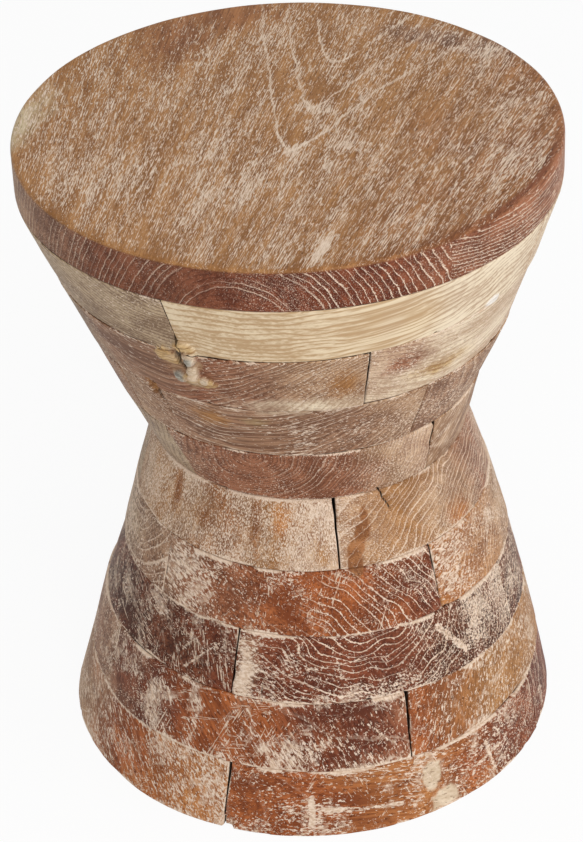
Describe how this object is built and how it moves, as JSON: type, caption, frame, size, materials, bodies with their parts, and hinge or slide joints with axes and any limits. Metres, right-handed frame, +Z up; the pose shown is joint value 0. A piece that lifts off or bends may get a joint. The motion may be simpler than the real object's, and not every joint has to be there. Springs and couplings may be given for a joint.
{
  "type": "accent table",
  "caption": "Hourglass accent table or stool of stacked reclaimed-wood block rings under a round plank top, lime-washed, standing on its wide flat base.",
  "frame": {"origin": "on the floor, at the middle of the base", "axes": "+Z up along the table's axis; the pictured front faces -Y and +X is to its right"},
  "size_m": [0.356, 0.356, 0.457],
  "materials": {
    "teak_top": "lime-washed, satin",
    "teak_tan": "lime-washed, satin",
    "teak_blond": "lime-washed, satin",
    "teak_brown": "lime-washed, satin",
    "teak_grey": "lime-washed, satin",
    "teak_red": "lime-washed, satin",
    "hardwood_dowel": "bare turned wood"
  },
  "bodies": {
    "root": {"top_main_board": "teak_top", "top_side_board": "teak_top", "ring_1_block_a": "teak_tan", "ring_1_block_b": "teak_brown", "ring_1_block_c": "teak_blond", "ring_1_block_d": "teak_blond", "ring_2_block_a": "teak_brown", "ring_2_block_b": "teak_tan", "ring_2_block_c": "teak_brown", "ring_2_block_d": "teak_tan", "ring_3_block_a": "teak_tan", "ring_3_block_b": "teak_brown", "ring_3_block_c": "teak_brown", "ring_3_block_d": "teak_grey", "ring_4_block_a": "teak_brown", "ring_4_block_b": "teak_grey", "ring_4_block_c": "teak_tan", "ring_4_block_d": "teak_brown", "ring_5_block_a": "teak_tan", "ring_5_block_b": "teak_brown", "ring_5_block_c": "teak_tan", "ring_5_block_d": "teak_tan", "ring_6_block_a": "teak_red", "ring_6_block_b": "teak_grey", "ring_6_block_c": "teak_red", "ring_6_block_d": "teak_tan", "ring_7_block_a": "teak_red", "ring_7_block_b": "teak_grey", "ring_7_block_c": "teak_red", "ring_7_block_d": "teak_brown", "ring_8_block_a": "teak_brown", "ring_8_block_b": "teak_red", "ring_8_block_c": "teak_red", "ring_8_block_d": "teak_tan", "ring_9_block_a": "teak_red", "ring_9_block_b": "teak_tan", "ring_9_block_c": "teak_red", "ring_9_block_d": "teak_tan", "dowels_top_to_ring_1": "hardwood_dowel", "dowels_ring_1_to_2": "hardwood_dowel", "dowels_ring_2_to_3": "hardwood_dowel", "dowels_ring_3_to_4": "hardwood_dowel", "dowels_ring_4_to_5": "hardwood_dowel", "dowels_ring_5_to_6": "hardwood_dowel", "dowels_ring_6_to_7": "hardwood_dowel", "dowels_ring_7_to_8": "hardwood_dowel", "dowels_ring_8_to_9": "hardwood_dowel"}
  },
  "joints": []
}
